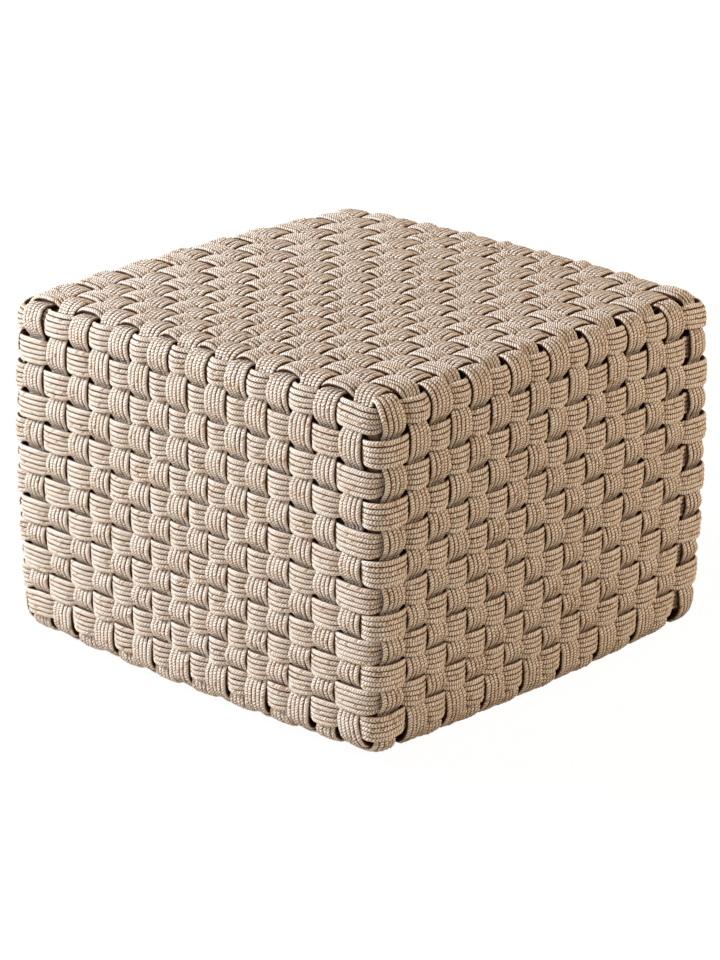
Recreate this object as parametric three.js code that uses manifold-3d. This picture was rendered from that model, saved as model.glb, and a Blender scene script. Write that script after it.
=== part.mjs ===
// Woven outdoor ottoman. Flat bands of braided cord run over and under one another round a
// box-shaped frame of aluminium tube that is packed with open-cell foam. A base board and four
// glides are screwed to the frame underneath.
// Units are millimetres. -Y is the front, +X the right-hand side, +Z up, and the origin is on the
// ground under the middle of the ottoman.

import * as THREE from 'three';
import { mergeVertices } from 'three/addons/utils/BufferGeometryUtils.js';
import Module from 'manifold-3d';

const wasm = await Module();
wasm.setup();

// Overall size
const width = 560;
const depth = 560;
const height = 406;
const standOff = 6;
const cornerDraw = 6;

// Weave: how many bands there are, how far each swings in and out, and how far the middles of the
// outermost ones lie in from the faces beside them
const bandsAcross = 16;
const bandsDeep = 16;
const rows = 12;
const swing = 4.4;
const bandFillShare = 0.94;
const outerFaceShare = 0.66;
const outerSideShare = 0.8;
const acrossBunchShare = 0.095;
const acrossTaperShare = -0.015;
const deepBunchShare = 0.03;
const deepTaperShare = 0.048;
const rowTaperShare = 0.061;
const acrossInset = 42;
const deepInset = 33;
const topRowInset = 24.8;
const bottomRowInset = 37.7;
const edgeCurl = 9;
const tuckReach = 34;
const tailLap = 11;
const bandEndInset = 2;

// Frame
const tubeDiameter = 25;
const cornerBlockShare = 0.68;

// Base board
const boardRimThickness = 6;
const boardRimLap = 4;
const boardCornerRadius = 20;
const drainHoleDiameter = 22;
const drainSpreadShare = 0.62;

// Glides and their screws
const glideDiameter = 46;
const glideChamfer = 2;
const glideInset = 12;
const screwDiameter = 6;
const screwHeadDiameter = 13;
const screwHeadHeight = 3;
const screwHeadRecess = 2;
const screwReach = 8;

// Clearances
const seatGap = 0.3;
const coreGap = 0.8;
const foamGap = 1.6;
const screwGap = 0.4;
const cutOverrun = 4;

// Facets
const tubeSides = 8;
const railSteps = 2;
const panelSteps = 3;
const plateCornerSteps = 3;
const glideSides = 12;
const screwSides = 8;

// A band is thickest along its middle. Where it passes over another, the pair just clear.
const bandThickness = swing * (2 - bandFillShare) - seatGap;
const outerFace = bandThickness * outerFaceShare;
const innerFace = bandThickness - outerFace;
const weaveOut = swing + outerFace;
const weaveIn = swing + innerFace;

// The middle surface of the weave is a box with rounded edges. The frame's tubes run along the
// edges of an inner box, and edgeRadius is the way out from that to the middle surface.
const tubeRadius = tubeDiameter / 2;
const edgeRadius = tubeRadius + coreGap + weaveIn;
const wovenHeight = height - standOff;
const middleHeight = standOff + wovenHeight / 2;
const innerX = width / 2 - weaveOut - edgeRadius;
const innerY = depth / 2 - weaveOut - edgeRadius;
const innerZ = wovenHeight / 2 - weaveOut - edgeRadius;

const cordMaterial = new THREE.MeshStandardMaterial({ color: 0xcdb898, roughness: 0.85, metalness: 0 });
const foamMaterial = new THREE.MeshStandardMaterial({ color: 0x8a7458, roughness: 0.95, metalness: 0 });
const tubeMaterial = new THREE.MeshStandardMaterial({ color: 0x8f7d68, roughness: 0.5, metalness: 0.6 });
const boardMaterial = new THREE.MeshStandardMaterial({ color: 0x2b2724, roughness: 0.7, metalness: 0 });
const glideMaterial = new THREE.MeshStandardMaterial({ color: 0x1e1c1b, roughness: 0.6, metalness: 0 });
const screwMaterial = new THREE.MeshStandardMaterial({ color: 0xb9bcc0, roughness: 0.35, metalness: 1 });

const signs = [-1, 1];
const isEven = (number) => number % 2 === 0;
const reversed = (list) => [...list].reverse();

// Each corner of the box is drawn in by cornerDraw along all three axes. The draw fades to
// nothing along the middle lines of the faces, so the edges bow out between the corners.
function drawCorners(geometry) {
  const position = geometry.attributes.position;
  for (let k = 0; k < position.count; k += 1) {
    const x = position.getX(k) / (width / 2);
    const y = position.getY(k) / (depth / 2);
    const z = position.getZ(k) / (wovenHeight / 2);
    position.setX(k, position.getX(k) - cornerDraw * x * y * y * z * z);
    position.setY(k, position.getY(k) - cornerDraw * y * x * x * z * z);
    position.setZ(k, position.getZ(k) - cornerDraw * z * x * x * y * y);
  }
  return geometry;
}

// Solids that are joined and cut
function toSolid(geometry) {
  const bare = geometry.clone();
  for (const name of Object.keys(bare.attributes)) {
    if (name !== 'position') bare.deleteAttribute(name);
  }
  const merged = mergeVertices(bare);
  return new wasm.Manifold(new wasm.Mesh({
    numProp: 3,
    vertProperties: new Float32Array(merged.attributes.position.array),
    triVerts: new Uint32Array(merged.index.array),
  }));
}

function toGeometry(solid) {
  const mesh = solid.getMesh();
  const geometry = new THREE.BufferGeometry();
  geometry.setAttribute('position', new THREE.BufferAttribute(new Float32Array(mesh.vertProperties), 3));
  geometry.setIndex(new THREE.BufferAttribute(new Uint32Array(mesh.triVerts), 1));
  return geometry;
}

function joined(geometries) {
  return geometries.map(toSolid).reduce((whole, piece) => whole.add(piece));
}

// Places of the bands along an axis, from low to high. The bunch share draws them together
// halfway along, and the taper share packs them closer towards the low end.
function bandPlaces(count, low, high, bunchShare, taperShare) {
  const middle = (low + high) / 2;
  const half = (high - low) / 2;
  return Array.from({ length: count }, (_, k) => {
    const share = (2 * k) / (count - 1) - 1;
    const shift = bunchShare * (share - share ** 3) + taperShare * (1 - share * share);
    return middle + half * (share - shift);
  });
}

const lastX = width / 2 - acrossInset;
const lastY = depth / 2 - deepInset;
const lowestZ = bottomRowInset - wovenHeight / 2;
const highestZ = wovenHeight / 2 - topRowInset;
const placesX = bandPlaces(bandsAcross, -lastX, lastX, acrossBunchShare, acrossTaperShare);
const placesY = bandPlaces(bandsDeep, -lastY, lastY, deepBunchShare, deepTaperShare);
const placesZ = bandPlaces(rows, lowestZ, highestZ, 0, rowTaperShare);

// Half the width of a band, from the room between its neighbours
function halfWidth(places, k) {
  const before = k > 0 ? places[k] - places[k - 1] : Infinity;
  const after = k < places.length - 1 ? places[k + 1] - places[k] : Infinity;
  return (bandFillShare * Math.min(before, after)) / 2;
}

// The section of a band, as steps across it and out from it: a flat inner face and a ridge. The
// outermost bands lie partly round an edge of the box, so their inner face bends at the middle,
// and their outer side is slimmer.
function bandSection(places, k, inner) {
  const half = halfWidth(places, k);
  const lowest = k === 0;
  const highest = k === places.length - 1;
  if (!lowest && !highest) {
    return [[-half, -innerFace], [half, -innerFace], [0, outerFace]];
  }
  const outward = Math.min(half * outerSideShare, inner - Math.abs(places[k]) + edgeCurl);
  const low = lowest ? outward : half;
  const high = highest ? outward : half;
  return [[-low, -innerFace], [0, -innerFace], [high, -innerFace], [0, outerFace]];
}

// A band's path lies in the plane of two axes, first and second, and its width lies along the
// third. A station on it is a point of the inner box, the way out from there, and the swing.
function crossing(face, place, inner, over) {
  const [normalFirst, normalSecond] = face.normal;
  return {
    first: normalFirst === 0 ? place : normalFirst * inner.first,
    second: normalSecond === 0 ? place : normalSecond * inner.second,
    normalFirst,
    normalSecond,
    swing: over ? swing : -swing,
  };
}

// Halfway round an edge, set out a little so that the straight runs on each side clear the tube
function bend(face, nextFace, inner) {
  const first = face.normal[0] + nextFace.normal[0];
  const second = face.normal[1] + nextFace.normal[1];
  return {
    first: first * inner.first,
    second: second * inner.second,
    normalFirst: first * Math.SQRT1_2,
    normalSecond: second * Math.SQRT1_2,
    swing: edgeRadius * (1 / Math.cos(Math.PI / 8) - 1),
  };
}

function crossings(face, inner) {
  return face.places.map((place, k) => crossing(face, place, inner, face.over(k)));
}

function endlessPath(faces, inner) {
  return faces.flatMap((face, f) => {
    const next = faces[(f + 1) % faces.length];
    return [...crossings(face, inner), bend(face, next, inner)];
  });
}

// Under the base a band crosses the rim band. One that passes inside it ends behind it. One that
// passes outside it is tucked up, and ends between the base board and the frame.
function baseEnd(base, k, inner) {
  const inward = k === 0 ? 1 : -1;
  const { places } = base;
  const over = base.over(k);
  const onRim = crossing(base, places[k], inner, over);
  if (!over) {
    const hidden = places[k] + inward * (halfWidth(places, k) - bandEndInset);
    return [crossing(base, hidden, inner, false), onRim];
  }
  const tuck = places[k] + inward * tuckReach;
  return [crossing(base, tuck + inward * tailLap, inner, false), crossing(base, tuck, inner, false), onRim];
}

function openPath(faces, base, inner) {
  const [rising, top, falling] = faces;
  return [
    ...baseEnd(base, 0, inner),
    bend(base, rising, inner),
    ...crossings(rising, inner),
    bend(rising, top, inner),
    ...crossings(top, inner),
    bend(top, falling, inner),
    ...crossings(falling, inner),
    bend(falling, base, inner),
    ...reversed(baseEnd(base, base.places.length - 1, inner)),
  ];
}

// One ring of a band: its section, set out from the inner box at a station of its path
function ringPoints(station, across, inner, section, axes) {
  return section.map(([step, lift]) => {
    const place = across + step;
    const beyond = Math.max(Math.abs(place) - inner, 0);
    const angle = beyond / edgeRadius;
    const side = Math.sign(place);
    const out = edgeRadius + station.swing + lift;
    const point = [];
    point[axes.first] = station.first + out * station.normalFirst * Math.cos(angle);
    point[axes.second] = station.second + out * station.normalSecond * Math.cos(angle);
    point[axes.across] = side * (Math.abs(place) - beyond + out * Math.sin(angle));
    return point;
  });
}

// Skin over a row of rings, as one closed body that faces out
function skin(rings, endless) {
  const sides = rings[0].length;
  const points = rings.flat();
  const triangles = [];
  const spans = endless ? rings.length : rings.length - 1;
  for (let k = 0; k < spans; k += 1) {
    const here = k * sides;
    const next = ((k + 1) % rings.length) * sides;
    for (let s = 0; s < sides; s += 1) {
      const t = (s + 1) % sides;
      triangles.push([here + s, here + t, next + t], [here + s, next + t, next + s]);
    }
  }
  if (!endless) {
    const end = (rings.length - 1) * sides;
    for (let s = 1; s < sides - 1; s += 1) {
      triangles.push([0, s + 1, s], [end, end + s, end + s + 1]);
    }
  }
  const corner = (index) => new THREE.Vector3(...points[index]);
  const volume = triangles.reduce((sum, [a, b, c]) => sum + corner(a).dot(corner(b).cross(corner(c))), 0);
  const facing = volume > 0 ? triangles : triangles.map(([a, b, c]) => [a, c, b]);
  const geometry = new THREE.BufferGeometry();
  geometry.setAttribute('position', new THREE.Float32BufferAttribute(points.flat(), 3));
  geometry.setIndex(facing.flat());
  return geometry;
}

// Columns are counted round the sides from the front's left end: front, right, back, left. A band
// alternates over and under along its whole way, round the edges too.
const rightStart = bandsAcross;
const backStart = rightStart + bandsDeep;
const leftStart = backStart + bandsAcross;

const frontToBack = {
  own: placesX,
  ownInner: innerX,
  other: placesY,
  otherInner: innerY,
  axes: { first: 1, second: 2, across: 0 },
  nearColumn: (i) => i,
  farColumn: (i) => leftStart - 1 - i,
  overTop: (i, j) => !isEven(i + j),
  overBase: (i, j) => isEven(i + j + rows),
};

const sideToSide = {
  own: placesY,
  ownInner: innerY,
  other: placesX,
  otherInner: innerX,
  axes: { first: 0, second: 2, across: 1 },
  nearColumn: (j) => leftStart + bandsDeep - 1 - j,
  farColumn: (j) => rightStart + j,
  overTop: (j, i) => isEven(i + j),
  overBase: (j, i) => !isEven(i + j + rows),
};

// An upright band goes up one side, across the top and down the other. The outermost ones run on
// under the base as its rim, and the rest end there.
function uprightBand(k, kind) {
  const { own, ownInner, other, otherInner, axes } = kind;
  const inner = { first: otherInner, second: innerZ };
  const near = kind.nearColumn(k);
  const far = kind.farColumn(k);
  const faces = [
    { normal: [-1, 0], places: placesZ, over: (n) => isEven(near + rows - 1 - n) },
    { normal: [0, 1], places: other, over: (n) => kind.overTop(k, n) },
    { normal: [1, 0], places: reversed(placesZ), over: (n) => isEven(far + n) },
  ];
  const base = { normal: [0, -1], places: other, over: (n) => kind.overBase(k, n) };
  const rim = { normal: [0, -1], places: reversed(other), over: (n) => base.over(other.length - 1 - n) };
  const isRim = k === 0 || k === own.length - 1;
  const path = isRim ? endlessPath([...faces, rim], inner) : openPath(faces, base, inner);
  const section = bandSection(own, k, ownInner);
  return skin(path.map((station) => ringPoints(station, own[k], ownInner, section, axes)), isRim);
}

// A hoop band goes round the four sides on one level
function hoopBand(row) {
  const level = rows - 1 - row;
  const over = (start) => (n) => !isEven(start + n + row);
  const faces = [
    { normal: [0, -1], places: placesX, over: over(0) },
    { normal: [1, 0], places: placesY, over: over(rightStart) },
    { normal: [0, 1], places: reversed(placesX), over: over(backStart) },
    { normal: [-1, 0], places: reversed(placesY), over: over(leftStart) },
  ];
  const axes = { first: 0, second: 1, across: 2 };
  const section = bandSection(placesZ, level, innerZ);
  const path = endlessPath(faces, { first: innerX, second: innerY });
  return skin(path.map((station) => ringPoints(station, placesZ[level], innerZ, section, axes)), true);
}

// Base board sizes. Its raised middle bears on the frame, and its rim holds the tucked ends.
const boardX = lastX - tuckReach;
const boardY = lastY - tuckReach;
const boardTop = -innerZ - tubeRadius - seatGap;
const boardRimTop = -innerZ - edgeRadius + swing - outerFace - seatGap;
const boardBottom = boardRimTop - boardRimThickness;

// Glides stand near the board's corners, each under a cross bar of the frame.
const glideX = boardX - glideInset - glideDiameter / 2;
const glideY = boardY - glideInset - glideDiameter / 2;
const glidePlaces = signs.flatMap((x) => signs.map((y) => [x * glideX, y * glideY]));
const ground = -middleHeight;
const glideTop = boardBottom - seatGap;
const screwSeat = ground + screwHeadRecess + screwHeadHeight;
const screwTip = -innerZ - tubeRadius + screwReach;

function uprightCylinders(places, radius, bottom, top) {
  const length = top - bottom;
  return joined(places.map(([x, y]) => {
    const cylinder = new THREE.CylinderGeometry(radius, radius, length, screwSides);
    return cylinder.rotateX(Math.PI / 2).translate(x, y, bottom + length / 2);
  }));
}

function screwHoles(bottom, top) {
  return uprightCylinders(glidePlaces, screwDiameter / 2 + screwGap, bottom, top);
}

// Frame: tubes along the twelve edges of the inner box, a block in each corner, and two cross
// bars underneath that take the screws
function frameTube(axis, inner, place) {
  const geometry = new THREE.CylinderGeometry(tubeRadius, tubeRadius, 2 * inner, tubeSides, railSteps);
  if (axis === 0) geometry.rotateZ(Math.PI / 2);
  if (axis === 2) geometry.rotateX(Math.PI / 2);
  return geometry.translate(...place);
}

function frameTubes() {
  return signs.flatMap((a) => [
    ...signs.flatMap((b) => [
      frameTube(0, innerX, [0, a * innerY, b * innerZ]),
      frameTube(1, innerY, [a * innerX, 0, b * innerZ]),
      frameTube(2, innerZ, [a * innerX, b * innerY, 0]),
    ]),
    frameTube(0, innerX, [0, a * glideY, -innerZ]),
  ]);
}

function cornerBlocks() {
  const side = tubeDiameter * cornerBlockShare;
  return signs.flatMap((x) => signs.flatMap((y) => signs.map((z) => {
    const block = new THREE.BoxGeometry(side, side, side);
    return block.translate(x * innerX, y * innerY, z * innerZ);
  })));
}

function weldedFrame() {
  const members = joined([...frameTubes(), ...cornerBlocks()].map(drawCorners));
  const holes = screwHoles(-innerZ - tubeRadius - cutOverrun, screwTip + screwGap);
  return toGeometry(members.subtract(holes));
}

// Foam block: a panel stands out to the weave on each of the six faces, and the edges between
// them are stepped in to clear the tubes. Two channels underneath clear the cross bars.
function foamBlock() {
  const step = tubeRadius + foamGap;
  const reach = [innerX, innerY, innerZ];
  const arms = reach.map((_, axis) => {
    const size = reach.map((inner, k) => 2 * (k === axis ? inner + tubeRadius : inner - step));
    return drawCorners(new THREE.BoxGeometry(...size, panelSteps, panelSteps, panelSteps));
  });
  const channels = signs.map((side) => {
    const channel = new THREE.BoxGeometry(2 * innerX, 2 * step, 2 * step + cutOverrun, panelSteps);
    return drawCorners(channel.translate(0, side * glideY, -innerZ - cutOverrun / 2));
  });
  return toGeometry(joined(arms).subtract(joined(channels)));
}

// Base board
function roundedPlate(halfX, halfY, radius, bottom, top) {
  const x = halfX - radius;
  const y = halfY - radius;
  const shape = new THREE.Shape();
  shape.moveTo(-x, -halfY);
  shape.lineTo(x, -halfY);
  shape.absarc(x, -y, radius, -Math.PI / 2, 0);
  shape.absarc(x, y, radius, 0, Math.PI / 2);
  shape.absarc(-x, y, radius, Math.PI / 2, Math.PI);
  shape.absarc(-x, -y, radius, -Math.PI, -Math.PI / 2);
  const options = { depth: top - bottom, bevelEnabled: false, curveSegments: plateCornerSteps };
  return new THREE.ExtrudeGeometry(shape, options).translate(0, 0, bottom);
}

function baseBoard() {
  const lap = tailLap + boardRimLap;
  const rim = roundedPlate(boardX, boardY, boardCornerRadius, boardBottom, boardRimTop);
  const middle = roundedPlate(boardX - lap, boardY - lap, boardCornerRadius, boardBottom, boardTop);
  const drains = [[0, 0], ...glidePlaces.map(([x, y]) => [x * drainSpreadShare, y * drainSpreadShare])];
  const below = boardBottom - cutOverrun;
  const above = boardTop + cutOverrun;
  const drainHoles = uprightCylinders(drains, drainHoleDiameter / 2, below, above);
  return toGeometry(joined([rim, middle]).subtract(drainHoles).subtract(screwHoles(below, above)));
}

function lathed(profile, sides) {
  const points = profile.map(([radius, level]) => new THREE.Vector2(radius, level));
  return new THREE.LatheGeometry(points, sides).rotateX(Math.PI / 2);
}

// Glide: a turned foot with a counterbored hole for its screw
function glide() {
  const hole = screwDiameter / 2 + screwGap;
  const recess = screwHeadDiameter / 2 + screwGap;
  const outer = glideDiameter / 2;
  const seat = screwSeat + seatGap;
  return lathed([
    [hole, seat], [recess, seat], [recess, ground], [outer - glideChamfer, ground],
    [outer, ground + glideChamfer], [outer, glideTop], [hole, glideTop], [hole, seat],
  ], glideSides);
}

// Screw: a pan head, and a shank that ends inside the cross bar
function glideScrew() {
  const head = screwHeadDiameter / 2;
  const shank = screwDiameter / 2;
  return lathed([
    [0, screwSeat - screwHeadHeight], [head - screwGap, screwSeat - screwHeadHeight],
    [head, screwSeat - screwHeadHeight / 2], [head, screwSeat],
    [shank, screwSeat], [shank, screwTip - shank], [0, screwTip],
  ], screwSides);
}

// Assembly
const ottoman = new THREE.Group();
ottoman.position.z = middleHeight;

function add(name, geometry, material, x = 0, y = 0) {
  const mesh = new THREE.Mesh(geometry, material);
  mesh.name = name;
  mesh.position.set(x, y, 0);
  ottoman.add(mesh);
}

const numbered = (name, k) => `${name}_${String(k + 1).padStart(2, '0')}`;

for (let i = 0; i < bandsAcross; i += 1) {
  add(numbered('front_back_band', i), drawCorners(uprightBand(i, frontToBack)), cordMaterial);
}
for (let j = 0; j < bandsDeep; j += 1) {
  add(numbered('side_side_band', j), drawCorners(uprightBand(j, sideToSide)), cordMaterial);
}
for (let row = 0; row < rows; row += 1) {
  add(numbered('hoop_band', row), drawCorners(hoopBand(row)), cordMaterial);
}
add('tube_frame', weldedFrame(), tubeMaterial);
add('foam_block', foamBlock(), foamMaterial);
add('base_board', baseBoard(), boardMaterial);
glidePlaces.forEach(([x, y], k) => {
  add(numbered('glide', k), glide(), glideMaterial, x, y);
  add(numbered('glide_screw', k), glideScrew(), screwMaterial, x, y);
});

export default ottoman;
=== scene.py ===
import math

import bpy
import numpy as np
from mathutils import Matrix, Vector


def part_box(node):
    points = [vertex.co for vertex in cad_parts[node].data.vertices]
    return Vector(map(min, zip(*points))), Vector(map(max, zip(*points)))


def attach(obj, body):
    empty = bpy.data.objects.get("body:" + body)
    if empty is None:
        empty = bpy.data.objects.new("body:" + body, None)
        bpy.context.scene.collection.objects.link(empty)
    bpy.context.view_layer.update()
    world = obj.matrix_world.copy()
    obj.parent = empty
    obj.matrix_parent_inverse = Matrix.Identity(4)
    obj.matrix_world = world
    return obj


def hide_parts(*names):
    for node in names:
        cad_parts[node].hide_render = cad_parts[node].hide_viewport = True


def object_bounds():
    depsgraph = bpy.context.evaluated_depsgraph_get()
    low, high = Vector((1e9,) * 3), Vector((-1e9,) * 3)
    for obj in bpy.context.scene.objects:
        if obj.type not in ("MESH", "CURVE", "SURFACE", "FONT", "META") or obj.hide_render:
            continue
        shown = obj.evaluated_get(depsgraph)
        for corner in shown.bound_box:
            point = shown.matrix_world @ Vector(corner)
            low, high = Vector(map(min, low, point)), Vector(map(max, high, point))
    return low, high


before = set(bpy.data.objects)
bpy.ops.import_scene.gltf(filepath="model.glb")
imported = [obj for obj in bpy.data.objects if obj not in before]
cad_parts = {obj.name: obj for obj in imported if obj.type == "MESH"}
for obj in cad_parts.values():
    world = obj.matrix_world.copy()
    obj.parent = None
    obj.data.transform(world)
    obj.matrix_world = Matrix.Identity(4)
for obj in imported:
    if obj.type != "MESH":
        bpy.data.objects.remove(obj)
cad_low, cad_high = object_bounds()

# Tube frame. Round aluminium tube is welded along the twelve edges of the box, with two cross bars
# below, and powder-coated brown. The weave hides it, apart from glimpses at the gaps.


def is_vector(value):
    """True of a vector, written out or as a flow."""
    return isinstance(value, tuple) or isinstance(value, Flow) and value.socket.type == "VECTOR"


class Flow:
    """A socket of a node tree. An expression on flows adds the nodes that work it out."""

    def __init__(self, tree, socket=None):
        self.tree = tree
        self.socket = socket

    def add(self, kind, settings=None, inputs=None, output=0):
        """Adds a node, sets it up, fills or links its sockets, and returns one of its outputs."""
        node = self.tree.nodes.new(kind)
        for name, value in (settings or {}).items():
            setattr(node, name, value)
        for name, value in (inputs or {}).items():
            if isinstance(value, Flow):
                self.tree.links.new(value.socket, node.inputs[name])
            else:
                node.inputs[name].default_value = value
        return Flow(self.tree, node.outputs[output])

    def maths(self, operation, *values, output=0):
        """A Math node, or a Vector Math node where a vector goes into it."""
        kind = "ShaderNodeVectorMath" if any(map(is_vector, values)) else "ShaderNodeMath"
        return self.add(kind, {"operation": operation}, dict(enumerate(values)), output)

    def __add__(self, other):
        return self.maths("ADD", self, other)

    def __radd__(self, other):
        return self.maths("ADD", other, self)

    def __sub__(self, other):
        return self.maths("SUBTRACT", self, other)

    def __rsub__(self, other):
        return self.maths("SUBTRACT", other, self)

    def __mul__(self, other):
        if is_vector(self) == is_vector(other):
            return self.maths("MULTIPLY", self, other)
        vector, factor = (self, other) if is_vector(self) else (other, self)
        inputs = {"Vector": vector, "Scale": factor}
        return self.add("ShaderNodeVectorMath", {"operation": "SCALE"}, inputs)

    def __rmul__(self, other):
        return self * other

    def __truediv__(self, other):
        return self.maths("DIVIDE", self, other)

    def sine(self):
        return self.maths("SINE", self)

    def cosine(self):
        return self.maths("COSINE", self)

    def absolute(self):
        return self.maths("ABSOLUTE", self)

    def fraction(self):
        return self.maths("FRACT", self)

    def floor(self):
        return self.maths("FLOOR", self)

    def power(self, exponent):
        return self.maths("POWER", self, exponent)

    def at_least(self, other):
        return self.maths("MAXIMUM", self, other)

    def at_most(self, other):
        return self.maths("MINIMUM", self, other)

    def ramp(self, low, high, out_low=0.0, out_high=1.0):
        """From out_low to out_high as the value goes from low to high, and level beyond."""
        inputs = {"Value": self, "From Min": low, "From Max": high,
                  "To Min": out_low, "To Max": out_high}
        return self.add("ShaderNodeMapRange", {"interpolation_type": "SMOOTHSTEP"}, inputs)

    def part(self, axis):
        return self.add("ShaderNodeSeparateXYZ", None, {"Vector": self}, axis)

    def joined(self, x, y, z):
        return self.add("ShaderNodeCombineXYZ", None, {"X": x, "Y": y, "Z": z})

    def between(self, first, second):
        """From a first colour at 0 to a second colour at 1, by the Mix node's colour sockets."""
        first_colour, second_colour, mixed_colour = 6, 7, 2
        colours = [value if isinstance(value, Flow) else (*value, 1) for value in (first, second)]
        inputs = {"Factor": self, first_colour: colours[0], second_colour: colours[1]}
        return self.add("ShaderNodeMix", {"data_type": "RGBA"}, inputs, mixed_colour)


def new_material(name, base, roughness, metallic=0.0):
    """A material, a start for its flows, and its main shader."""
    material = bpy.data.materials.new(name)
    material.use_nodes = True
    shader = material.node_tree.nodes["Principled BSDF"]
    shader.inputs["Base Color"].default_value = (*base, 1)
    shader.inputs["Roughness"].default_value = roughness
    shader.inputs["Metallic"].default_value = metallic
    return material, Flow(material.node_tree), shader


def feed(flow, shader, name):
    flow.tree.links.new(flow.socket, shader.inputs[name])


def speckle(start, scale, detail):
    """Noise on the object's own coordinates, the finer the larger its scale."""
    place = start.add("ShaderNodeTexCoord", output="Object")
    inputs = {"Vector": place, "Scale": scale, "Detail": detail}
    return start.add("ShaderNodeTexNoise", None, inputs)


def bump(height, strength, depth):
    inputs = {"Strength": strength, "Distance": depth, "Height": height}
    return height.add("ShaderNodeBump", None, inputs)


def dress(node, material):
    """Gives a solid of the frame its finish."""
    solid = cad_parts[node]
    if not solid.material_slots:
        solid.data.materials.append(material)
    for slot in solid.material_slots:
        slot.material = material


# Noise seldom leaves this span.
noise_span = (0.3, 0.7)


def powder_coat():
    brown = (0.16, 0.11, 0.075)
    worn = (0.22, 0.16, 0.11)
    worn_from, worn_to = 0.45, 0.7
    satin, dull = 0.42, 0.6
    grain_depth = 0.0002
    material, start, shader = new_material("brown_powder_coat", brown, roughness=0.5, metallic=0.2)
    grain = speckle(start, scale=900.0, detail=2.0)
    wear = speckle(start, scale=14.0, detail=4.0)
    feed(wear.ramp(worn_from, worn_to).between(brown, worn), shader, "Base Color")
    feed(wear.ramp(*noise_span, satin, dull), shader, "Roughness")
    feed(bump(grain, strength=0.3, depth=grain_depth), shader, "Normal")
    return material


dress("tube_frame", powder_coat())

# Foam core. A block of quick-dry foam fills the frame in a knitted brown liner. It backs the weave
# on all six faces, and shows as a darker ground in the gaps between the bands.


def liner_cloth():
    thread = (0.24, 0.165, 0.10)
    shadow = (0.09, 0.055, 0.03)
    knit_pitch = 0.0022
    knit_depth = 0.0006
    hollow, crown = -0.8, 0.8
    material, start, shader = new_material("brown_liner", thread, roughness=0.95)
    turns = start.add("ShaderNodeTexCoord", output="Object") * (2 * math.pi / knit_pitch)
    x, y, z = (turns.part(axis).sine() for axis in range(3))
    knit = (x * y + y * z + z * x).ramp(hollow, crown)
    feed(knit.between(shadow, thread), shader, "Base Color")
    feed(bump(knit, strength=0.5, depth=knit_depth), shader, "Normal")
    return material


def foam_core():
    """The foam block's solid, merged and subdivided, its faces pressed in by the weave."""
    subdivisions = 3
    pressed_in = 0.0012
    dent_depth = 0.0006
    dent_pitch = 0.05
    dent_phase = 1.3
    weld_distance = 0.00001
    core = bpy.data.objects.new("foam_core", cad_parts["foam_block"].data.copy())
    bpy.context.scene.collection.objects.link(core)
    core.modifiers.new("weld", "WELD").merge_threshold = weld_distance
    for _ in range(subdivisions):
        facets = core.modifiers.new("facets", "SUBSURF")
        facets.subdivision_type = "SIMPLE"
        facets.levels = facets.render_levels = 1
    evaluated = core.evaluated_get(bpy.context.evaluated_depsgraph_get())
    shaped = bpy.data.meshes.new_from_object(evaluated)
    core.modifiers.clear()
    core.data = shaped
    shaped.name = "foam_core"
    points = np.empty(len(shaped.vertices) * 3)
    shaped.vertices.foreach_get("co", points)
    points = points.reshape(-1, 3)
    centre = (points.max(0) + points.min(0)) / 2
    dents = np.sin(points * (2 * math.pi / dent_pitch) + dent_phase).prod(axis=1) - 1
    reach = np.abs(points - centre)
    push = np.sign(points - centre) * (reach == reach.max(axis=1)[:, None])
    inward = push * (dents * dent_depth / 2 - pressed_in)[:, None]
    shaped.vertices.foreach_set("co", (points + inward).ravel())
    shaped.materials.clear()
    shaped.materials.append(liner_cloth())
    return core


foam = foam_core()
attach(foam, "root")
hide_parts("foam_block")

# Weave. Sixteen bands run front to back, sixteen side to side and twelve round the box, each over
# one crossing band and under the next. A band is five braided outdoor cords side by side. They lie
# close, bow out a little on each float, and crowd together where the band dives.

cord_diameter = 0.0066
weave_out = 0.00728
stand_off = 0.006
tube_radius = 0.0125
box_half = Vector(((cad_high.x - cad_low.x) / 2, (cad_high.y - cad_low.y) / 2,
                   (cad_high.z - stand_off) / 2))
box_middle = Vector((0, 0, stand_off + box_half.z))
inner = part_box("foam_block")[1] - box_middle - Vector([tube_radius] * 3)
edge_radius = box_half.x - weave_out - inner.x
bend_length = edge_radius * math.pi / 2


def band_places(count, low, high, bunch, taper):
    """Middles of the bands along an axis, as the solids have them. The bunch draws them together
    in the middle, and the taper towards one end."""
    share = np.linspace(-1, 1, count)
    shift = bunch * (share - share**3) + taper * (1 - share**2)
    return (low + high) / 2 + (high - low) / 2 * (share - shift)


upright_count, hoop_count = 16, 12
# From the box's sides, its foot and its top to the nearest band's middle.
corner_x, corner_y = 0.042, 0.033
lowest_hoop, highest_hoop = 0.0377, 0.0248
top_hoop_rise = 0.0028
last_x, last_y = box_half.x - corner_x, box_half.y - corner_y
places_x = band_places(upright_count, -last_x, last_x, bunch=0.095, taper=-0.015)
places_y = band_places(upright_count, -last_y, last_y, bunch=0.03, taper=0.048)
places_z = band_places(hoop_count, lowest_hoop - box_half.z, box_half.z - highest_hoop,
                       bunch=0, taper=0.061)
# The top hoop is pulled up a little towards the top edge.
places_z[-1] += top_hoop_rise


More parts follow.
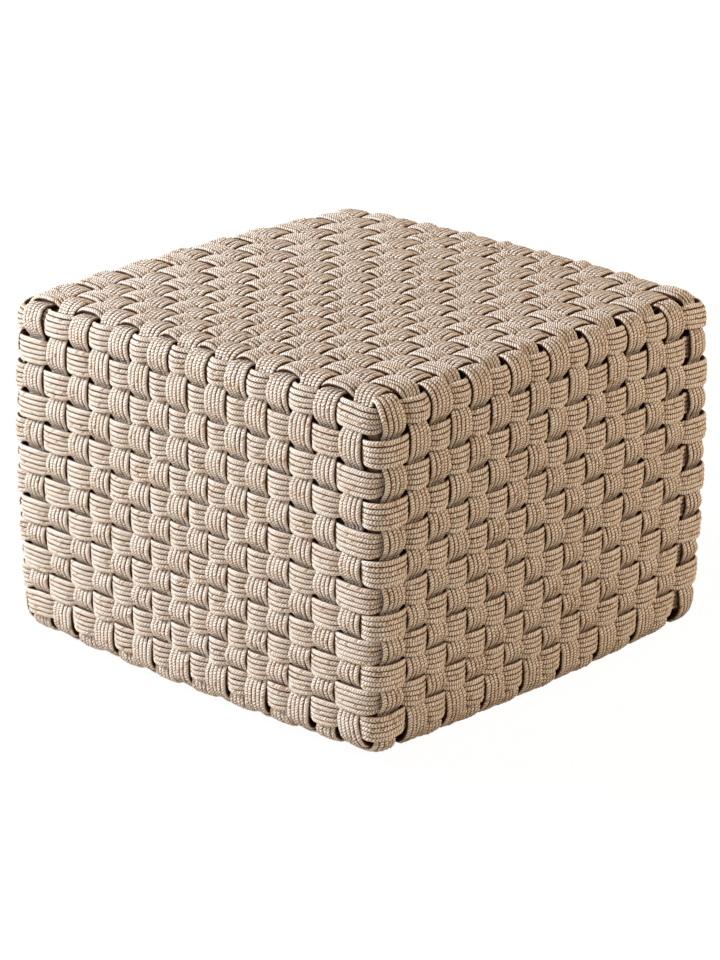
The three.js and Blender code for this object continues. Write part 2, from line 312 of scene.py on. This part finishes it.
def braided_cord():
    """Sand-coloured outdoor cord, flecked with brown: a round braid of slanting stitches, with
    painted shade between them and in the grooves between cords.
    """
    pale = (0.94, 0.945, 0.94)
    sand = (0.75, 0.675, 0.60)
    fleck = (0.50, 0.37, 0.26)
    # Painted shade: the next colour is a brown laid in the hollows between the stitches, where they
    # fall in shade.
    stitch_shade = (0.31, 0.165, 0.065)
    # Painted shade: the next colour is the near black of the grooves where a cord meets its
    # neighbours.
    groove_shade = (0.065, 0.025, 0.008)
    stitch_length = 0.0031
    stitch_depth = 0.0008
    stitch_ends = 0.6
    columns = 4
    slant = 1.1
    offset, looseness = 7, 1.5
    cord_key = 91
    all_sand, all_pale = 0.0, 0.7
    stitch_share, patch_share, cord_share = 0.6, 0.25, 0.15
    plain_below, fleck_above = 0.94, 0.96
    stitch_shade_edge = (0.12, 0.59)
    groove_shade_edge = (0.47, 0.93)
    flank_edge = (0.0, 0.6)
    flank_facing = (0.2, 0.5)
    raggedness = 0.14
    gloss = 0.15
    material, start, shader = new_material("sand_braid", sand, roughness=0.85)
    shader.inputs["Specular IOR Level"].default_value = gloss

    def stored(name, output="Fac"):
        return start.add("ShaderNodeAttribute", {"attribute_name": name}, output=output)

    along, tone, flank = stored("along"), stored("tone"), stored("flank")
    around = stored("around", "Vector")
    round_share = start.maths("ARCTAN2", around.part(1), around.part(0)) / (2 * math.pi) + 0.5
    column = round_share * columns
    across = column.fraction()
    # -1 in every other column and 1 in the rest, so the stitches lean both ways in turn.
    leaning = (column.floor() * 0.5).fraction() * 4 - 1
    loose = speckle(start, scale=120.0, detail=2.0) * looseness
    row = along / stitch_length + (across - 0.5) * leaning * slant + tone * offset + loose
    profile = stitch_ends + (1 - stitch_ends) * (across * math.pi).sine()
    stitch = (row.fraction() * math.pi).sine() * profile
    one_stitch = start.joined(row.floor(), column.floor(), tone * cord_key)
    chance = start.add("ShaderNodeTexWhiteNoise", None, {"Vector": one_stitch})
    patch = speckle(start, scale=60.0, detail=3.0)
    mixed = chance.ramp(all_sand, all_pale) * stitch_share
    mixed = mixed + patch.ramp(*noise_span) * patch_share + tone * cord_share
    flecked = chance.ramp(plain_below, fleck_above)
    thread = flecked.between(mixed.between(sand, pale), fleck)
    # Painted shade between the stitches: their crests keep the thread's colour and the hollows turn
    # brown.
    raised = stitch.ramp(*stitch_shade_edge)
    # Painted shade in the grooves: a cord's flanks turn near black towards its neighbours, except
    # the bare outer flank of an outermost cord.
    upward = around.part(0) / (cord_diameter / 2) + (stitch - 0.5) * raggedness
    on_flank = upward.ramp(*flank_edge) * flank.ramp(*flank_facing)
    outer = upward.ramp(*groove_shade_edge).at_least(on_flank)
    feed(outer.between(groove_shade, raised.between(stitch_shade, thread)), shader, "Base Color")
    feed(bump(stitch, strength=1.0, depth=stitch_depth), shader, "Normal")
    return material


def new_tree(name, inputs):
    """A Geometry Nodes tree with inputs listed by kind, and those inputs as flows."""
    tree = bpy.data.node_groups.new(name, "GeometryNodeTree")
    kinds = {label: kind for kind, labels in inputs.items() for label in labels}
    for label, kind in kinds.items():
        tree.interface.new_socket(name=label, in_out="INPUT", socket_type="NodeSocket" + kind)
    tree.interface.new_socket(name="Geometry", in_out="OUTPUT", socket_type="NodeSocketGeometry")
    source = tree.nodes.new("NodeGroupInput")
    return tree, {label: Flow(tree, source.outputs[label]) for label in kinds}


def finish_tree(tree, shape, material):
    whole = shape.add("GeometryNodeRealizeInstances", None, {"Geometry": shape})
    inputs = {"Geometry": whole, "Material": material}
    dressed = whole.add("GeometryNodeSetMaterial", None, inputs)
    sink = tree.nodes.new("NodeGroupOutput")
    tree.links.new(dressed.socket, sink.inputs["Geometry"])


def band_tree():
    """From a band's guide to its cords. A guide point carries its place on the inner box, the way
    out from there, the swing from -1 under a crossing band to 1 over one, how far the band moves
    aside and widens there, and the pinch of the board's rim."""
    tree, given = new_tree("woven_band", {
        "Geometry": ["Guide"],
        "Vector": ["Across", "Box Half", "Box Middle"],
        "Float": ["Place", "Inner Across", "Edge Radius", "Corner Draw", "Cord Diameter",
                  "Half Pitch", "Crest", "Arch", "Deepest", "Dive Softness", "Full Spread",
                  "Narrow Spread", "Crowded Scale", "Bend Crowding", "Pinched Level",
                  "Pinched Scale", "Edge Droop", "Tilt", "Wander"],
        "Int": ["Cords", "Sides", "Seed"],
        "Material": ["Material"]})
    band_waves, cord_waves, height_waves, tilt_waves = 9.0, 34.0, 40.0, 30.0
    band_sway, cord_sway, height_sway = 4, 2, 3
    band_step, cord_step = 3.7, 0.9
    height_seed, tilt_seed = 50, 20
    start = given["Guide"]

    def stored(name, kind="FLOAT"):
        return start.add("GeometryNodeInputNamedAttribute", {"data_type": kind}, {"Name": name})

    def store(shape, name, value, kind="FLOAT"):
        settings = {"data_type": kind, "domain": "POINT"}
        inputs = {"Geometry": shape, "Name": name, "Value": value}
        return shape.add("GeometryNodeStoreNamedAttribute", settings, inputs)

    line = start.add("GeometryNodeMeshToCurve", None, {"Mesh": start})
    inputs = {"Geometry": line, "Amount": given["Cords"]}
    line = start.add("GeometryNodeDuplicateElements", {"domain": "SPLINE"}, inputs)
    number = Flow(tree, line.socket.node.outputs["Duplicate Index"])
    line = store(line, "cord", number)
    cord = stored("cord")
    swing = stored("swing")
    pinch = stored("pinch")
    outward = stored("outward", "FLOAT_VECTOR")

    middle = (given["Cords"] - 1) / 2
    step = cord - middle
    edge = step / middle
    spot = start.add("GeometryNodeInputPosition")

    def noise(scale, seed):
        inputs = {"Vector": spot, "W": seed, "Scale": scale, "Detail": 1.0}
        return start.add("ShaderNodeTexNoise", {"noise_dimensions": "4D"}, inputs) - 0.5

    band_seed = given["Seed"] * band_step
    cord_seed = band_seed + cord * cord_step
    sway = noise(band_waves, band_seed) * band_sway + noise(cord_waves, cord_seed) * cord_sway
    over = swing.at_least(0.0)
    close = (1 - over).power(2)
    spread = given["Full Spread"] - (given["Full Spread"] - given["Narrow Spread"]) * close
    beside_middle = step * given["Cord Diameter"] * (spread * stored("widen"))
    across = given["Place"] + stored("shift") + beside_middle + sway * given["Wander"]
    fall = (1 - swing) * given["Half Pitch"]
    lift = given["Crest"] - fall * fall * given["Arch"] - edge * edge * given["Edge Droop"]
    lift = lift + noise(height_waves, cord_seed + height_seed) * height_sway * given["Wander"]
    lift = lift + edge * noise(tilt_waves, band_seed + tilt_seed) * given["Tilt"]
    lift = lift.maths("SMOOTH_MAX", lift, given["Deepest"], given["Dive Softness"])
    lift = lift + pinch * (given["Pinched Level"] - lift)

    reach = across.absolute()
    beyond = (reach - given["Inner Across"]).at_least(0.0)
    out = given["Edge Radius"] + lift
    curl = beyond * given["Bend Crowding"] / out
    side = across.maths("SIGN", across)
    outward = outward.maths("NORMALIZE", outward)
    flat = stored("inner", "FLOAT_VECTOR") + outward * (out * curl.cosine())
    sideways = given["Across"] * (side * (reach - beyond + out * curl.sine()))
    point = flat + sideways
    # The corners of the box are drawn in: along each axis by how far out the other two have run.
    share = point / given["Box Half"]
    square = share * share
    first = start.joined(square.part(1), square.part(0), square.part(0))
    second = start.joined(square.part(2), square.part(2), square.part(1))
    drawn = point - share * first * second * given["Corner Draw"] + given["Box Middle"]

    way_out = outward * curl.cosine() + given["Across"] * (side * curl.sine())
    line = store(line, "way_out", way_out, "FLOAT_VECTOR")
    # The two outer cords know which way their bare flank faces, and the inner ones have none, so
    # the cord's painted groove shade is left off that bare flank.
    outermost = edge * (edge.absolute() * 4 - 3).at_least(0.0)
    beside = given["Across"] * curl.cosine() - outward * (side * curl.sine())
    line = store(line, "beside", beside * outermost, "FLOAT_VECTOR")
    line = start.add("GeometryNodeSetPosition", None, {"Geometry": line, "Position": drawn})
    inputs = {"Curve": line, "Normal": stored("way_out", "FLOAT_VECTOR")}
    line = start.add("GeometryNodeSetCurveNormal", {"mode": "FREE"}, inputs)
    line = store(line, "along", start.add("GeometryNodeSplineParameter", output="Length"))
    inputs = {"W": cord + given["Seed"] * given["Cords"]}
    tone = start.add("ShaderNodeTexWhiteNoise", {"noise_dimensions": "1D"}, inputs)
    line = store(line, "tone", tone)

    inputs = {"Resolution": given["Sides"], "Radius": given["Cord Diameter"] / 2}
    ring = start.add("GeometryNodeCurvePrimitiveCircle", None, inputs)
    ring = store(ring, "around", start.add("GeometryNodeInputPosition"), "FLOAT_VECTOR")
    pinched = 1 - pinch * (1 - given["Pinched Scale"])
    crowded = 1 - close * (1 - given["Crowded Scale"])
    inputs = {"Curve": line, "Profile Curve": ring, "Fill Caps": True, "Scale": pinched * crowded}
    cords = start.add("GeometryNodeCurveToMesh", None, inputs)
    normal = start.add("GeometryNodeInputNormal")
    flank = normal.maths("DOT_PRODUCT", normal, stored("beside", "FLOAT_VECTOR"), output="Value")
    cords = store(cords, "flank", flank)
    cords = start.add("GeometryNodeSetShadeSmooth", None, {"Geometry": cords})
    finish_tree(tree, cords, given["Material"])
    return tree


def ring_faces(half_first, half_second):
    """Half lengths of the four faces that a ring crosses, and the distance along it to the middle
    of each. The faces are the ones towards -first, +second, +first and -second."""
    halves = [half_second, half_first, half_second, half_first]
    centres = np.cumsum([0, *[half_first + half_second + bend_length] * 3])
    return halves, centres


def ring_point(where, halves, centres):
    """Place on the inner box and the way out, in the ring's plane, by the distance along it."""
    normals = [(-1, 0), (0, 1), (1, 0), (0, -1)]
    heading = [(0, 1), (1, 0), (0, -1), (-1, 0)]
    around = 4 * (halves[0] + halves[1] + bend_length)
    where = (where + halves[0] + bend_length / 2) % around - halves[0] - bend_length / 2
    face = int(np.argmin(np.abs(where - centres) - halves))
    run = where - centres[face]
    flat = min(max(run, -halves[face]), halves[face])
    angle = (run - flat) / edge_radius
    normal, ahead = np.array(normals[face]), np.array(heading[face])
    depth = halves[(face + 1) % 4]
    return normal * depth + ahead * flat, normal * math.cos(angle) + ahead * math.sin(angle)


half_pitch = 0.0158
# Guide points of a dive, by their distance from the side of the band it passes under.
dive_steps = (-0.0079, -0.0045, -0.0016, 0.0016, 0.0052, 0.0098)
least_step = 0.0035
least_float = 2.4 * half_pitch


def swing_knots(stops, signs, half_widths):
    """Distances and swings at each crossing and through each dive between two crossings."""
    where, swings = [stops[0]], [signs[0]]
    for k in range(len(stops) - 1):
        low, high = stops[k], stops[k + 1]
        if signs[k] != signs[k + 1]:
            under, way = (low, 1) if signs[k] < 0 else (high, -1)
            half = half_widths[k] if signs[k] < 0 else half_widths[k + 1]
            half = min(half, (high - low) / 2)
            dive = [(under + way * (half + step), max(-1, min(1, step / half_pitch)))
                    for step in dive_steps]
            rest = under + way * (half + half_pitch)
            if (high - rest) * way > least_step and high - low > least_float:
                dive.append((rest, 1))
            for place, value in dive[::way]:
                where.append(place)
                swings.append(value)
        where.append(high)
        swings.append(signs[k + 1])
    return np.array(where), np.array(swings, float)


# How far a band's end goes on from the rim: to the pinch, past the pinch, and where the band is
# already under at the rim.
tuck_reach = 0.034
tail_lap = 0.011
hidden_reach = 0.0145


def tucked_run(stops, signs, half_widths, main, around):
    """The run of a band that is open below. Of the crossings under the board it keeps the first
    and the last, at the rim, and its ends are tucked between the foam and the rim past them."""
    rim_start, rim_end = stops[-1] - around, stops[main]
    tuck = [tuck_reach, tuck_reach + tail_lap / 2, tuck_reach + tail_lap]
    head_reach = tuck if signs[-1] > 0 else [hidden_reach]
    tail_reach = tuck if signs[main] > 0 else [hidden_reach]
    head = [rim_start - reach for reach in head_reach[::-1]]
    tail = [rim_end + reach for reach in tail_reach]
    stops = np.array([*head, rim_start, *stops[:main], rim_end, *tail])
    signs = [-1] * len(head) + [signs[-1], *signs[:main + 1]] + [-1] * len(tail)
    half_widths = [*[half_pitch] * (len(head) + 1), *half_widths[:main],
                   *[half_pitch] * (len(tail) + 1)]
    return stops, signs, half_widths, (rim_start - tuck_reach, rim_end + tuck_reach)


def closed_run(stops, signs, half_widths, around):
    """The run of a closed band, from a crossing that hides its seam round to the same one."""
    count = len(stops)
    seam = 0 if signs[0] < 0 else 1
    run = range(seam, seam + count + 1)
    stops = np.array([stops[k % count] + around * (k // count) for k in run])
    signs, half_widths = ([values[k % count] for k in run] for values in (signs, half_widths))
    return stops, signs, half_widths, (-math.inf, math.inf)


bend_samples = 7
lean_reach = 0.019
axes = np.identity(3)
weave_tree = band_tree()
weave_sizes = {
    "Box Half": list(box_half), "Box Middle": list(box_middle), "Edge Radius": edge_radius,
    "Corner Draw": 0.006, "Cords": 5, "Cord Diameter": cord_diameter, "Sides": 8,
    "Half Pitch": half_pitch, "Arch": 26.0, "Deepest": -0.0035, "Dive Softness": 0.0015,
    "Crowded Scale": 0.9, "Bend Crowding": 0.93, "Pinched Level": -0.00395, "Pinched Scale": 0.86,
    "Edge Droop": 0.0005, "Tilt": 0.0025, "Wander": 0.0008, "Material": braided_cord()}
upright_lay = {"Crest": 0.0046, "Full Spread": 0.865, "Narrow Spread": 0.76}
hoop_lay = {"Crest": 0.0054, "Full Spread": 0.89, "Narrow Spread": 0.76}


def lay_band(name, seed, place, across, plane, crossed, first_over, open_ended,
             aside=(0, 0), widened=0, lean=0):
    """Lays a band's guide and puts the tree on it. The plane's two axes are the ring's, and crossed
    holds the crossing places on its faces with the half widths there, at the near and far face.
    Aside is how far an outermost band moves next to an upright edge, on the left and on the right,
    widened the share by which it widens there, and lean how far it moves into the corners."""
    halves, centres = ring_faces(inner[plane[0]], inner[plane[1]])
    (first_places, first_half, first_far), (second_places, second_half, second_far) = crossed
    stops = np.concatenate([centres[0] + second_places, centres[1] + first_places,
                            centres[2] - second_places[::-1], centres[3] - first_places[::-1]])
    half_widths = [*second_half, *first_half, *second_far[::-1], *first_far[::-1]]
    signs = [1 if (k % 2 == 0) == first_over else -1 for k in range(len(stops))]
    around = centres[3] + centres[1]
    if open_ended:
        main = len(stops) - len(first_places)
        stops, signs, half_widths, held = tucked_run(stops, signs, half_widths, main, around)
    else:
        stops, signs, half_widths, held = closed_run(stops, signs, half_widths, around)
    where, swings = swing_knots(stops, signs, half_widths)

    # Guide points: the crossings and dives, and between them enough to go round the box's edges.
    bends = [centre + half + bend_length * share + lap * around
             for centre, half in zip(centres, halves)
             for share in np.linspace(0, 1, bend_samples) for lap in (-1, 0, 1)]
    clear = [bend for bend in bends if where[0] < bend < where[-1]
             and np.abs(where - bend).min() > least_step]
    along = np.array(sorted([*where, *clear]))
    inners, ways = np.zeros((len(along), 3)), np.zeros((len(along), 3))
    for k, distance in enumerate(along):
        inners[k, plane], ways[k, plane] = ring_point(distance, halves, centres)

    upright = ways[:, plane[0]] ** 2
    bend_middles = np.add.outer((-around, 0, around), centres + halves + bend_length / 2).ravel()
    from_bend = np.abs(along[:, None] - bend_middles).min(axis=1)
    shift = np.where(ways[:, plane[0]] < 0, *aside) * upright
    shift += lean * np.exp(-(from_bend / lean_reach) ** 2)
    pinch = ((along <= held[0]) | (along >= held[1])).astype(float)
    vectors = {"inner": inners, "outward": ways}
    numbers = {"swing": np.interp(along, where, swings), "pinch": pinch, "shift": shift,
               "widen": 1 + widened * upright}
    mesh = bpy.data.meshes.new(name)
    edges = [(k, k + 1) for k in range(len(along) - 1)]
    mesh.from_pydata((inners + ways * edge_radius).tolist(), edges, [])
    for label, values in vectors.items():
        attribute = mesh.attributes.new(label, "FLOAT_VECTOR", "POINT")
        attribute.data.foreach_set("vector", values.ravel())
    for label, values in numbers.items():
        attribute = mesh.attributes.new(label, "FLOAT", "POINT")
        attribute.data.foreach_set("value", values)

    band = bpy.data.objects.new(name, mesh)
    bpy.context.scene.collection.objects.link(band)
    modifier = band.modifiers.new("weave", "NODES")
    modifier.node_group = weave_tree
    given = {**weave_sizes, **(hoop_lay if across == 2 else upright_lay), "Seed": seed,
             "Place": place, "Across": axes[across].tolist(), "Inner Across": inner[across]}
    for socket in weave_tree.interface.items_tree:
        if socket.name in given:
            modifier[socket.identifier] = given[socket.name]
    return band


# What each face's bands cross: the places of the other bands, and half their widths there.
upright_half = 0.0142
edge_half = 0.0195
left_edge_half = 0.0245
even = [upright_half] * upright_count
inside = even[1:-1]
even_x = (places_x, even, even)
even_y = (places_y, even, even)
even_z = (places_z, [half_pitch] * hoop_count, [half_pitch] * hoop_count)
edged_y = (places_y, [edge_half, *inside, edge_half], [left_edge_half, *inside, left_edge_half])

left_shift = 0.0095
right_shift = 0.0045
edge_widening = 0.04
corner_lean = 0.006
hoop_leans = {0: -0.0025, hoop_count - 1: -0.004}
outermost = {0: -1, upright_count - 1: 1}
side_seed, hoop_seed = 20, 40
bands = {}
for k, place in enumerate(places_x):
    node = f"front_back_band_{k + 1:02d}"
    outward = outermost.get(k, 0)
    bands[node] = lay_band(node + "_cords", k, place, 0, [1, 2], (even_y, even_z), k % 2 == 1,
                           not outward, lean=outward * corner_lean)
for k, place in enumerate(places_y):
    node = f"side_side_band_{k + 1:02d}"
    outward = outermost.get(k, 0)
    bands[node] = lay_band(node + "_cords", side_seed + k, place, 1, [0, 2], (even_x, even_z),
                           k % 2 == 0, not outward, (outward * left_shift, outward * right_shift),
                           abs(outward) * edge_widening, outward * corner_lean)
for k, place in enumerate(places_z[::-1]):
    node = f"hoop_band_{k + 1:02d}"
    bands[node] = lay_band(node + "_cords", hoop_seed + k, place, 2, [1, 0], (edged_y, even_x),
                           k % 2 == 1, False, lean=hoop_leans.get(k, 0))

seen = bpy.context.evaluated_depsgraph_get()
for node, band in bands.items():
    woven = bpy.data.meshes.new_from_object(band.evaluated_get(seen))
    band.modifiers.clear()
    band.data = woven
    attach(band, "root")
    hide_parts(node)

# Base board. A black polyethylene sheet closes the underside. Its raised middle bears on the frame,
# its rim holds the tucked ends of the bands, and round holes let rain out.


def moulded_black(name, colour, grain_scale, roughness):
    smoother, rougher = roughness - 0.1, roughness + 0.15
    scuff_span = (0.35, 0.75)
    grain_depth = 0.0003
    material, start, shader = new_material(name, colour, roughness)
    grain = speckle(start, grain_scale, detail=4.0)
    scuff = speckle(start, scale=25.0, detail=6.0)
    feed(scuff.ramp(*scuff_span, smoother, rougher), shader, "Roughness")
    feed(bump(grain, strength=0.35, depth=grain_depth), shader, "Normal")
    return material


dress("base_board", moulded_black("board_black", (0.028, 0.026, 0.024), grain_scale=420.0,
                                  roughness=0.6))

# Glides. Four turned nylon feet stand the ottoman on the floor. Each is held up through the board
# into a cross bar of the frame by a stainless pan-head screw in a counterbore.

glide_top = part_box("glide_01")[1].z
glide_radius, hole_radius, recess_radius = 0.023, 0.0034, 0.0069
foot_rounding, top_rounding, recess_bevel = 0.002, 0.001, 0.0004
head_seat, head_height, head_radius, shank_radius = 0.005, 0.003, 0.0065, 0.003
head_rounding, point_radius, seat_gap = 0.0018, 0.0006, 0.0001
socket_radius, socket_depth, socket_cone, socket_land = 0.0022, 0.0018, 0.0004, 0.0012


def rounded_edge(radius, face, rounding, steps, rise=1):
    """Rings round an edge, from its flat face out to the wall that goes up (1) or down (-1)."""
    return [(radius - rounding * (1 - math.sin(turn)),
             face + rise * rounding * (1 - math.cos(turn)))
            for turn in np.linspace(0, math.pi / 2, steps)]


def turned(name, node, rings, material, segments, through=False, six_sided=0):
    """A solid turned about the middle of a node's box. Each ring has a radius and a height, and
    the first few may be six-sided. With a hole through it, the last ring joins the first."""
    low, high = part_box(node)
    middle_x, middle_y = (low.x + high.x) / 2, (low.y + high.y) / 2
    sector = math.pi / 3
    crease = math.radians(40)
    points, faces = [], []
    for ring, (radius, height) in enumerate(rings):
        for s in range(segments):
            angle = 2 * math.pi * s / segments
            if ring < six_sided:
                out = radius * math.cos(sector / 2) / math.cos(angle % sector - sector / 2)
            else:
                out = radius
            points.append((middle_x + out * math.cos(angle), middle_y + out * math.sin(angle),
                           height))
    for ring in range(len(rings) if through else len(rings) - 1):
        here, there = ring * segments, (ring + 1) % len(rings) * segments
        for s in range(segments):
            after = (s + 1) % segments
            faces.append((here + s, here + after, there + after, there + s))
    if not through:
        faces.append(tuple(range(segments))[::-1])
        faces.append(tuple(range((len(rings) - 1) * segments, len(rings) * segments)))
    mesh = bpy.data.meshes.new(name)
    mesh.from_pydata(points, [], faces)
    mesh.materials.append(material)
    mesh.shade_smooth()
    mesh.set_sharp_from_angle(angle=crease)
    piece = bpy.data.objects.new(name, mesh)
    bpy.context.scene.collection.objects.link(piece)
    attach(piece, "root")
    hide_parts(node)


def stainless_steel():
    silver = (0.62, 0.63, 0.65)
    bright, brushed = 0.25, 0.4
    material, start, shader = new_material("stainless_steel", silver, roughness=0.3, metallic=1.0)
    streaks = speckle(start, scale=800.0, detail=2.0)
    feed(streaks.ramp(*noise_span, bright, brushed), shader, "Roughness")
    return material


glide_black = moulded_black("glide_black", (0.02, 0.02, 0.02), grain_scale=700.0, roughness=0.5)
steel = stainless_steel()
head_face = head_seat - head_height
shelf = head_seat + seat_gap
glide_rings = [(recess_radius + recess_bevel, 0),
               *rounded_edge(glide_radius, 0, foot_rounding, steps=6),
               *rounded_edge(glide_radius, glide_top, top_rounding, steps=4, rise=-1)[::-1],
               (hole_radius, glide_top), (hole_radius, shelf),
               (recess_radius, shelf), (recess_radius, recess_bevel)]
for k in range(1, 5):
    turned(f"glide_{k:02d}_turned", f"glide_{k:02d}", glide_rings, glide_black,
           segments=48, through=True)
    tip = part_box(f"glide_screw_{k:02d}")[1].z
    socket_floor = head_face + socket_depth
    screw_rings = [(socket_cone, socket_floor + socket_cone), (socket_radius, socket_floor),
                   (socket_radius, head_face), (socket_radius + socket_land, head_face),
                   *rounded_edge(head_radius, head_face, head_rounding, steps=5),
                   (head_radius, head_seat), (shank_radius, head_seat),
                   (shank_radius, tip - shank_radius), (point_radius, tip)]
    turned(f"glide_screw_{k:02d}_turned", f"glide_screw_{k:02d}", screw_rings, steel,
           segments=24, six_sided=3)

# Studio. A white floor and backdrop, a soft key lamp from the left, a weak lamp in front and a warm
# fill from behind on the right. The view is the photograph's: a long lens from the near corner.


def backdrop_rays(start):
    """1 for what the camera sees, straight or by metal and glass, and 0 for light on a surface."""
    camera_ray, glossy_ray, through_ray = (
        start.add("ShaderNodeLightPath", output=ray)
        for ray in ("Is Camera Ray", "Is Glossy Ray", "Is Transmission Ray"))
    return (camera_ray + glossy_ray + through_ray).at_most(1)


def studio_floor():
    """A pale floor that keeps the shadow close to the ottoman and is seen as white farther out."""
    size = 40.0
    cream = (0.55, 0.485, 0.40)
    white_strength = 1.08
    shadow_radius, white_radius = 0.5, 1.1
    least_white = 0.9
    bpy.ops.mesh.primitive_plane_add(size=size)
    plane = bpy.context.object
    plane.name = "floor"
    material, start, shader = new_material("floor_white", cream, roughness=0.9)
    place = start.add("ShaderNodeTexCoord", output="Object")
    distance = place.maths("LENGTH", place, output="Value")
    white = distance.ramp(shadow_radius, white_radius, least_white, 1.0)
    inputs = {"Color": (1, 1, 1, 1), "Strength": white_strength}
    glow = start.add("ShaderNodeEmission", None, inputs)
    plain = Flow(start.tree, shader.outputs["BSDF"])
    inputs = {0: backdrop_rays(start) * white, 1: plain, 2: glow}
    shown = start.add("ShaderNodeMixShader", None, inputs)
    feed(shown, material.node_tree.nodes["Material Output"], "Surface")
    plane.data.materials.append(material)
    return plane


def studio_world():
    """A warm, dim sky for the ottoman, and white for what is seen past it."""
    warm, white = (1, 0.70, 0.43), (1, 1, 1)
    sky_strength = 0.235
    world = bpy.data.worlds.new("studio")
    world.use_nodes = True
    background = world.node_tree.nodes["Background"]
    seen_rays = backdrop_rays(Flow(world.node_tree))
    feed(seen_rays.between(warm, white), background, "Color")
    feed(seen_rays.ramp(0, 1, sky_strength, 1.0), background, "Strength")
    return world


def direction(azimuth, elevation):
    """The way from the ottoman to where it is seen from, by angles in degrees."""
    across, up = math.radians(azimuth), math.radians(elevation)
    level = math.cos(up)
    return Vector((math.sin(across) * level, -math.cos(across) * level, math.sin(up)))


def area_lamp(name, azimuth, elevation, size, power, colour, distance=3.0):
    """A square lamp that faces the middle of the ottoman."""
    lamp = bpy.data.lights.new(name, "AREA")
    lamp.shape, lamp.size, lamp.energy, lamp.color = "SQUARE", size, power, colour
    stand = bpy.data.objects.new(name, lamp)
    way = direction(azimuth, elevation)
    stand.location = box_middle + way * distance
    stand.rotation_euler = (-way).to_track_quat("-Z", "Y").to_euler()
    bpy.context.scene.collection.objects.link(stand)


floor = studio_floor()
bpy.context.scene.world = studio_world()
area_lamp("key", azimuth=-50, elevation=30, size=0.5, power=129, colour=(1.0, 1.0, 1.0))
area_lamp("front", azimuth=14, elevation=12, size=0.8, power=19, colour=(1.0, 0.91, 0.79))
area_lamp("fill", azimuth=126, elevation=24, size=0.5, power=51, colour=(1.0, 0.78, 0.55))

camera_azimuth, camera_elevation = 42.47, 19.736
camera_roll = math.radians(0.547)
camera_distance = 3.695
camera_way = direction(camera_azimuth, camera_elevation)
look_at = Vector((0, 0, 0.1816))
focal_pixels, picture_height, centre_shift = 3297.0, 960, 1.57
camera = bpy.data.cameras.new("camera")
camera.sensor_width = 36
camera.lens = focal_pixels * camera.sensor_width / picture_height
camera.shift_x = -centre_shift / picture_height
camera.clip_end = 100
eye = bpy.data.objects.new("camera", camera)
eye.matrix_world = (Matrix.Translation(look_at + camera_way * camera_distance)
                    @ (-camera_way).to_track_quat("-Z", "Y").to_matrix().to_4x4()
                    @ Matrix.Rotation(camera_roll, 4, "Z"))
bpy.context.scene.collection.objects.link(eye)
bpy.context.scene.camera = eye
bpy.context.scene.view_settings.view_transform = "Standard"
